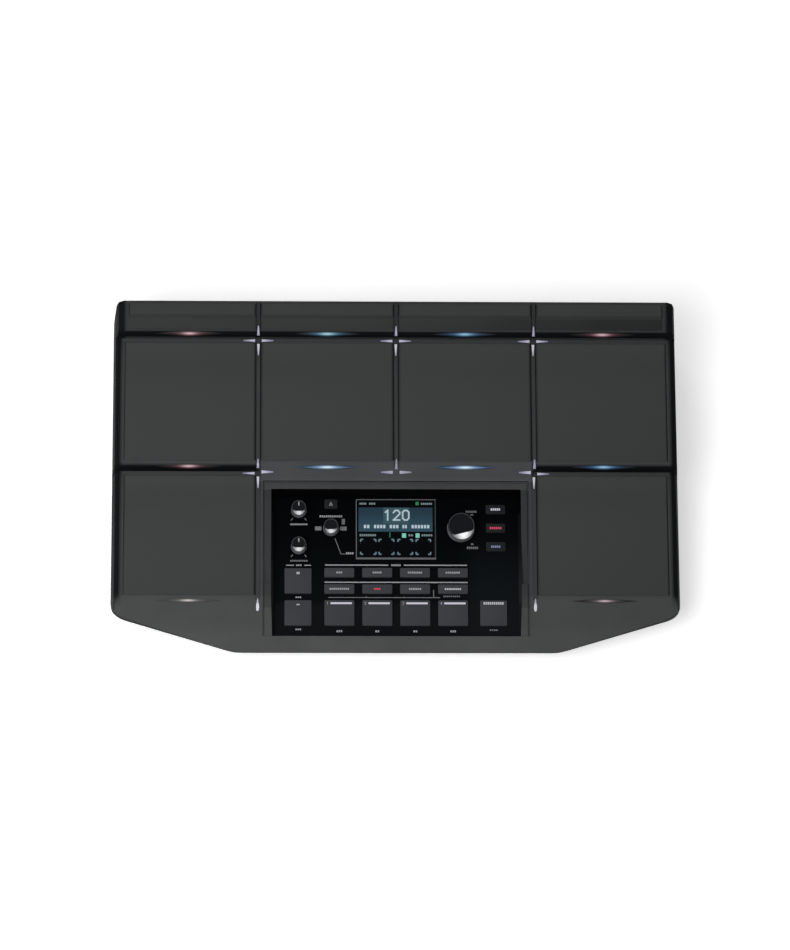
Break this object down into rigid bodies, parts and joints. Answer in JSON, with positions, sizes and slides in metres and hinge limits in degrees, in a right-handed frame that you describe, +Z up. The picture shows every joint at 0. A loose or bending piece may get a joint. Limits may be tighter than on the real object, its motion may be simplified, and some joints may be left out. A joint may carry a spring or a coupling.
{
  "type": "sampling drum pad",
  "caption": "Electronic percussion unit: three stepped ranks of rubber strike pads round a sunken panel of keys, knobs and display.",
  "frame": {"origin": "middle of the body's box, on the table", "axes": "+X to the player's right, +Y away from the player, +Z up"},
  "size_m": [0.4266, 0.2636, 0.0828],
  "materials": {
    "frame_plastic": "fine-grained dark grey moulding",
    "case_plastic": "fine-grained black moulding",
    "panel_plastic": "smooth black panel with printed lines",
    "window": "clear window with a dark border",
    "display": "lit liquid crystal display",
    "pad_rubber": "matt moulded rubber",
    "sensor_sheet": "pressure sensing sheet",
    "plate_steel": "zinc-plated sheet steel",
    "lens": "clear lens with a light behind it",
    "light_guide": "milky light guide",
    "button_plastic": "satin dark grey keycap",
    "knob_plastic": "matt dark grey",
    "shaft_metal": "turned",
    "rotary_metal": "pressed metal housing",
    "switch_body": "moulded switch",
    "board": "green solder mask",
    "jack_plastic": "black moulding",
    "socket_metal": "plated shell",
    "insert_brass": "threaded insert",
    "screw_steel": "blackened steel",
    "foot_rubber": "matt rubber"
  },
  "bodies": {
    "body": {"top_frame": "frame_plastic", "bottom_case": "case_plastic", "control_panel": "panel_plastic", "display_window": "window", "display_module": "display", "pad_plates": "plate_steel", "sensor_sheets": "sensor_sheet", "indicator_lenses": "lens", "cross_light_guides": "light_guide", "rotary_bodies": "rotary_metal", "tact_switches": "switch_body", "panel_board": "board", "main_board": "board", "jack_board": "board", "audio_jacks": "jack_plastic", "midi_sockets": "jack_plastic", "dc_inlet": "jack_plastic", "usb_sockets": "socket_metal", "power_switch_body": "switch_body", "stand_inserts": "insert_brass", "case_screws": "screw_steel", "rubber_feet": "foot_rubber"},
    "rear_bar_pad_1": {"rear_bar_pad_1": "pad_rubber"},
    "rear_bar_pad_2": {"rear_bar_pad_2": "pad_rubber"},
    "rear_bar_pad_3": {"rear_bar_pad_3": "pad_rubber"},
    "rear_bar_pad_4": {"rear_bar_pad_4": "pad_rubber"},
    "middle_pad_1": {"middle_pad_1": "pad_rubber"},
    "middle_pad_2": {"middle_pad_2": "pad_rubber"},
    "middle_pad_3": {"middle_pad_3": "pad_rubber"},
    "middle_pad_4": {"middle_pad_4": "pad_rubber"},
    "front_pad_1": {"front_pad_1": "pad_rubber"},
    "front_pad_2": {"front_pad_2": "pad_rubber"},
    "upper_row_button_1": {"upper_row_button_1": "button_plastic"},
    "upper_row_button_2": {"upper_row_button_2": "button_plastic"},
    "upper_row_button_3": {"upper_row_button_3": "button_plastic"},
    "upper_row_button_4": {"upper_row_button_4": "button_plastic"},
    "lower_row_button_1": {"lower_row_button_1": "button_plastic"},
    "lower_row_button_2": {"lower_row_button_2": "button_plastic"},
    "lower_row_button_3": {"lower_row_button_3": "button_plastic"},
    "lower_row_button_4": {"lower_row_button_4": "button_plastic"},
    "track_button_1": {"track_button_1": "button_plastic"},
    "track_button_2": {"track_button_2": "button_plastic"},
    "track_button_3": {"track_button_3": "button_plastic"},
    "track_button_4": {"track_button_4": "button_plastic"},
    "left_square_button_1": {"left_square_button_1": "button_plastic"},
    "left_square_button_2": {"left_square_button_2": "button_plastic"},
    "right_square_button": {"right_square_button": "button_plastic"},
    "side_button_1": {"side_button_1": "button_plastic"},
    "side_button_2": {"side_button_2": "button_plastic"},
    "side_button_3": {"side_button_3": "button_plastic"},
    "click_button": {"click_button": "button_plastic"},
    "phones_control": {"phones_knob": "knob_plastic", "phones_shaft": "shaft_metal"},
    "main_level_control": {"main_level_knob": "knob_plastic", "main_level_shaft": "shaft_metal"},
    "metronome_shaft": {"metronome_shaft": "shaft_metal"},
    "metronome_knob": {"metronome_knob": "knob_plastic"},
    "value_shaft": {"value_shaft": "shaft_metal"},
    "value_knob": {"value_knob": "knob_plastic"},
    "power_button": {"power_button": "knob_plastic"}
  },
  "joints": [
    {"name": "rear_bar_pad_1_press", "type": "slide", "parent": "body", "child": "rear_bar_pad_1", "axis": [0, 0.0872, -0.9962], "range_m": [0, 0.0004], "stiffness_N_per_m": 20000, "springref_m": -0.0002},
    {"name": "rear_bar_pad_2_press", "type": "slide", "parent": "body", "child": "rear_bar_pad_2", "axis": [0, 0.0872, -0.9962], "range_m": [0, 0.0004], "stiffness_N_per_m": 20000, "springref_m": -0.0002},
    {"name": "rear_bar_pad_3_press", "type": "slide", "parent": "body", "child": "rear_bar_pad_3", "axis": [0, 0.0872, -0.9962], "range_m": [0, 0.0004], "stiffness_N_per_m": 20000, "springref_m": -0.0002},
    {"name": "rear_bar_pad_4_press", "type": "slide", "parent": "body", "child": "rear_bar_pad_4", "axis": [0, 0.0872, -0.9962], "range_m": [0, 0.0004], "stiffness_N_per_m": 20000, "springref_m": -0.0002},
    {"name": "middle_pad_1_press", "type": "slide", "parent": "body", "child": "middle_pad_1", "axis": [0, 0.0872, -0.9962], "range_m": [0, 0.0004], "stiffness_N_per_m": 30000, "springref_m": -0.0002},
    {"name": "middle_pad_2_press", "type": "slide", "parent": "body", "child": "middle_pad_2", "axis": [0, 0.0872, -0.9962], "range_m": [0, 0.0004], "stiffness_N_per_m": 30000, "springref_m": -0.0002},
    {"name": "middle_pad_3_press", "type": "slide", "parent": "body", "child": "middle_pad_3", "axis": [0, 0.0872, -0.9962], "range_m": [0, 0.0004], "stiffness_N_per_m": 30000, "springref_m": -0.0002},
    {"name": "middle_pad_4_press", "type": "slide", "parent": "body", "child": "middle_pad_4", "axis": [0, 0.0872, -0.9962], "range_m": [0, 0.0004], "stiffness_N_per_m": 30000, "springref_m": -0.0002},
    {"name": "front_pad_1_press", "type": "slide", "parent": "body", "child": "front_pad_1", "axis": [0, 0.0872, -0.9962], "range_m": [0, 0.0004], "stiffness_N_per_m": 30000, "springref_m": -0.0002},
    {"name": "front_pad_2_press", "type": "slide", "parent": "body", "child": "front_pad_2", "axis": [0, 0.0872, -0.9962], "range_m": [0, 0.0004], "stiffness_N_per_m": 30000, "springref_m": -0.0002},
    {"name": "upper_row_button_1_press", "type": "slide", "parent": "body", "child": "upper_row_button_1", "axis": [0, 0.0872, -0.9962], "range_m": [0, 0.0004], "stiffness_N_per_m": 2500, "springref_m": -0.0004},
    {"name": "upper_row_button_2_press", "type": "slide", "parent": "body", "child": "upper_row_button_2", "axis": [0, 0.0872, -0.9962], "range_m": [0, 0.0004], "stiffness_N_per_m": 2500, "springref_m": -0.0004},
    {"name": "upper_row_button_3_press", "type": "slide", "parent": "body", "child": "upper_row_button_3", "axis": [0, 0.0872, -0.9962], "range_m": [0, 0.0004], "stiffness_N_per_m": 2500, "springref_m": -0.0004},
    {"name": "upper_row_button_4_press", "type": "slide", "parent": "body", "child": "upper_row_button_4", "axis": [0, 0.0872, -0.9962], "range_m": [0, 0.0004], "stiffness_N_per_m": 2500, "springref_m": -0.0004},
    {"name": "lower_row_button_1_press", "type": "slide", "parent": "body", "child": "lower_row_button_1", "axis": [0, 0.0872, -0.9962], "range_m": [0, 0.0004], "stiffness_N_per_m": 2500, "springref_m": -0.0004},
    {"name": "lower_row_button_2_press", "type": "slide", "parent": "body", "child": "lower_row_button_2", "axis": [0, 0.0872, -0.9962], "range_m": [0, 0.0004], "stiffness_N_per_m": 2500, "springref_m": -0.0004},
    {"name": "lower_row_button_3_press", "type": "slide", "parent": "body", "child": "lower_row_button_3", "axis": [0, 0.0872, -0.9962], "range_m": [0, 0.0004], "stiffness_N_per_m": 2500, "springref_m": -0.0004},
    {"name": "lower_row_button_4_press", "type": "slide", "parent": "body", "child": "lower_row_button_4", "axis": [0, 0.0872, -0.9962], "range_m": [0, 0.0004], "stiffness_N_per_m": 2500, "springref_m": -0.0004},
    {"name": "track_button_1_press", "type": "slide", "parent": "body", "child": "track_button_1", "axis": [0, 0.0872, -0.9962], "range_m": [0, 0.0004], "stiffness_N_per_m": 2500, "springref_m": -0.0004},
    {"name": "track_button_2_press", "type": "slide", "parent": "body", "child": "track_button_2", "axis": [0, 0.0872, -0.9962], "range_m": [0, 0.0004], "stiffness_N_per_m": 2500, "springref_m": -0.0004},
    {"name": "track_button_3_press", "type": "slide", "parent": "body", "child": "track_button_3", "axis": [0, 0.0872, -0.9962], "range_m": [0, 0.0004], "stiffness_N_per_m": 2500, "springref_m": -0.0004},
    {"name": "track_button_4_press", "type": "slide", "parent": "body", "child": "track_button_4", "axis": [0, 0.0872, -0.9962], "range_m": [0, 0.0004], "stiffness_N_per_m": 2500, "springref_m": -0.0004},
    {"name": "left_square_button_1_press", "type": "slide", "parent": "body", "child": "left_square_button_1", "axis": [0, 0.0872, -0.9962], "range_m": [0, 0.0004], "stiffness_N_per_m": 2500, "springref_m": -0.0004},
    {"name": "left_square_button_2_press", "type": "slide", "parent": "body", "child": "left_square_button_2", "axis": [0, 0.0872, -0.9962], "range_m": [0, 0.0004], "stiffness_N_per_m": 2500, "springref_m": -0.0004},
    {"name": "right_square_button_press", "type": "slide", "parent": "body", "child": "right_square_button", "axis": [0, 0.0872, -0.9962], "range_m": [0, 0.0004], "stiffness_N_per_m": 2500, "springref_m": -0.0004},
    {"name": "side_button_1_press", "type": "slide", "parent": "body", "child": "side_button_1", "axis": [0, 0.0872, -0.9962], "range_m": [0, 0.0004], "stiffness_N_per_m": 2500, "springref_m": -0.0004},
    {"name": "side_button_2_press", "type": "slide", "parent": "body", "child": "side_button_2", "axis": [0, 0.0872, -0.9962], "range_m": [0, 0.0004], "stiffness_N_per_m": 2500, "springref_m": -0.0004},
    {"name": "side_button_3_press", "type": "slide", "parent": "body", "child": "side_button_3", "axis": [0, 0.0872, -0.9962], "range_m": [0, 0.0004], "stiffness_N_per_m": 2500, "springref_m": -0.0004},
    {"name": "click_button_press", "type": "slide", "parent": "body", "child": "click_button", "axis": [0, 0.0872, -0.9962], "range_m": [0, 0.0004], "stiffness_N_per_m": 2500, "springref_m": -0.0004},
    {"name": "phones_turn", "type": "hinge", "parent": "body", "child": "phones_control", "pos_m": [-0.0728, -0.02223, 0.03366], "axis": [0, -0.0872, 0.9962], "range_deg": [-150, 150]},
    {"name": "main_level_turn", "type": "hinge", "parent": "body", "child": "main_level_control", "pos_m": [-0.0728, -0.05022, 0.03121], "axis": [0, -0.0872, 0.9962], "range_deg": [-150, 150]},
    {"name": "metronome_shaft_press", "type": "slide", "parent": "body", "child": "metronome_shaft", "axis": [0, 0.0872, -0.9962], "range_m": [0, 0.0005], "stiffness_N_per_m": 4000, "springref_m": -0.0004},
    {"name": "metronome_turn", "type": "hinge", "parent": "metronome_shaft", "child": "metronome_knob", "pos_m": [-0.0487, -0.03622, 0.03244], "axis": [0, -0.0872, 0.9962], "continuous": true},
    {"name": "value_shaft_press", "type": "slide", "parent": "body", "child": "value_shaft", "axis": [0, 0.0872, -0.9962], "range_m": [0, 0.0005], "stiffness_N_per_m": 4000, "springref_m": -0.0004},
    {"name": "value_turn", "type": "hinge", "parent": "value_shaft", "child": "value_knob", "pos_m": [0.0487, -0.03622, 0.03244], "axis": [0, -0.0872, 0.9962], "continuous": true},
    {"name": "power_button_press", "type": "slide", "parent": "body", "child": "power_button", "axis": [0, -1, 0], "range_m": [0, 0.002], "stiffness_N_per_m": 900, "springref_m": -0.001}
  ]
}
